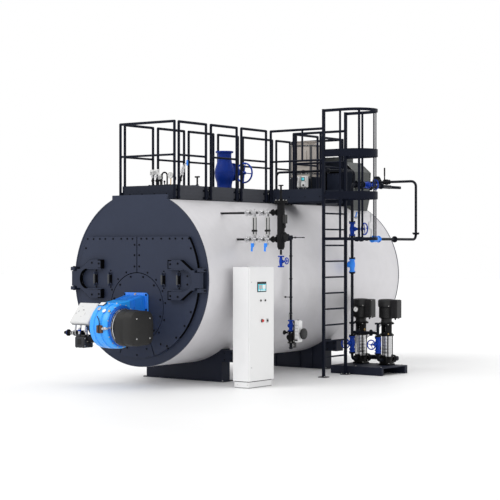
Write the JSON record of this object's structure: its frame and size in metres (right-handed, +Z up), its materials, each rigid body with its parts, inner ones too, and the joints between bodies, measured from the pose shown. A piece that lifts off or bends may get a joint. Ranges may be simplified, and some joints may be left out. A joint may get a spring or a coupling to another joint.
{
  "type": "fire-tube steam boiler with burner",
  "caption": "Horizontal fire-tube steam boiler with front burner, split smokebox doors, roof walkway, caged ladder, economizer, control cabinet and feed pumps.",
  "frame": {"origin": "on the floor, at the middle of the front saddle's base plate", "axes": "+Y along the shell from the burner end to the rear, +Z up, +X towards the ladder and pumps"},
  "size_m": [3.6058, 6.435, 4.19],
  "materials": {
    "clad_steel": "brushed cladding sheet",
    "navy_paint": "satin dark slate blue",
    "frame_paint": "satin near-black blue",
    "burner_blue": "gloss bright blue",
    "valve_blue": "gloss royal blue",
    "motor_black": "matte black cover",
    "cast_dark": "dark castings",
    "cabinet_white": "powder coat, light grey",
    "galvanised": "grey zinc coat",
    "duct_beige": "warm grey paint",
    "pipe_steel": "dark grey pipe",
    "stainless": "stainless pump parts",
    "lining_grey": "refractory lining"
  },
  "bodies": {
    "boiler": {"boiler_shell": "clad_steel", "front_plate": "navy_paint", "rear_plate": "navy_paint", "rear_cover": "navy_paint", "tube_plate": "pipe_steel", "furnace_neck": "pipe_steel", "burner_plate": "navy_paint", "lower_cover": "navy_paint", "hinge_posts": "navy_paint", "front_saddle": "frame_paint", "rear_saddle": "frame_paint", "walkway_deck": "frame_paint", "platform_deck": "frame_paint", "right_guardrail": "frame_paint", "left_guardrail": "frame_paint", "front_guardrail": "frame_paint", "rear_guardrail": "frame_paint", "platform_front_guardrail": "frame_paint", "platform_rear_guardrail": "frame_paint", "ladder": "frame_paint", "ladder_cage_hoops": "frame_paint", "ladder_cage_bars": "frame_paint", "economizer_casing": "galvanised", "flue_duct": "duct_beige", "cabinet_body": "cabinet_white", "cabinet_mounting_plate": "galvanised", "burner_housing": "burner_blue", "burner_fan_scroll": "burner_blue", "burner_motor_cover": "motor_black", "burner_control_box": "cabinet_white", "burner_gas_train": "cast_dark", "steam_valve_body": "valve_blue", "top_instrument_manifold": "pipe_steel", "top_inspection_cover": "pipe_steel", "level_gauges": "cast_dark", "level_standpipe": "pipe_steel", "sample_line": "pipe_steel", "feed_riser": "pipe_steel", "feed_check_valve": "burner_blue", "economizer_loop": "pipe_steel", "crossover_pipe": "pipe_steel", "pump_skid": "frame_paint", "pump_stage_left": "stainless", "pump_stage_right": "stainless", "pump_motor_left": "cast_dark", "pump_motor_right": "cast_dark", "pump_manifold": "pipe_steel", "suction_manifold": "pipe_steel"},
    "front_door_right": {"front_door_right": "navy_paint", "door_lining_right": "lining_grey", "door_hinge_arm_right": "navy_paint"},
    "front_door_left": {"front_door_left": "navy_paint", "door_lining_left": "lining_grey", "door_hinge_arm_left": "navy_paint"},
    "cabinet_door": {"cabinet_door": "cabinet_white"},
    "steam_handwheel": {"steam_handwheel": "frame_paint"},
    "feed_handwheel": {"feed_handwheel": "frame_paint"},
    "economizer_handwheel": {"economizer_handwheel": "frame_paint"},
    "pump_handwheel_left": {"pump_handwheel_left": "frame_paint"},
    "pump_handwheel_right": {"pump_handwheel_right": "frame_paint"}
  },
  "joints": [
    {"name": "front_door_right_hinge", "type": "hinge", "parent": "boiler", "child": "front_door_right", "pos_m": [1.24, -1.219, 1.56], "axis": [0, 0, 1], "range_deg": [0, 16]},
    {"name": "front_door_left_hinge", "type": "hinge", "parent": "boiler", "child": "front_door_left", "pos_m": [-1.24, -1.219, 1.56], "axis": [0, 0, -1], "range_deg": [0, 26]},
    {"name": "cabinet_door_hinge", "type": "hinge", "parent": "boiler", "child": "cabinet_door", "pos_m": [1.7, -0.675, 0.924], "axis": [0, 0, -1], "range_deg": [0, 120]},
    {"name": "steam_handwheel_spin", "type": "hinge", "parent": "boiler", "child": "steam_handwheel", "pos_m": [0, 1.463, 3.245], "axis": [0, 1, 0], "continuous": true},
    {"name": "feed_handwheel_spin", "type": "hinge", "parent": "boiler", "child": "feed_handwheel", "pos_m": [1.677, 2.466, 2.33], "axis": [1, 0, 0], "continuous": true},
    {"name": "economizer_handwheel_spin", "type": "hinge", "parent": "boiler", "child": "economizer_handwheel", "pos_m": [1.638, 2.87, 3.06], "axis": [1, 0, 0], "continuous": true},
    {"name": "pump_handwheel_left_spin", "type": "hinge", "parent": "boiler", "child": "pump_handwheel_left", "pos_m": [1.442, 2.266, 0.478], "axis": [0, 1, 0], "continuous": true},
    {"name": "pump_handwheel_right_spin", "type": "hinge", "parent": "boiler", "child": "pump_handwheel_right", "pos_m": [1.93, 2.266, 0.478], "axis": [0, 1, 0], "continuous": true}
  ]
}
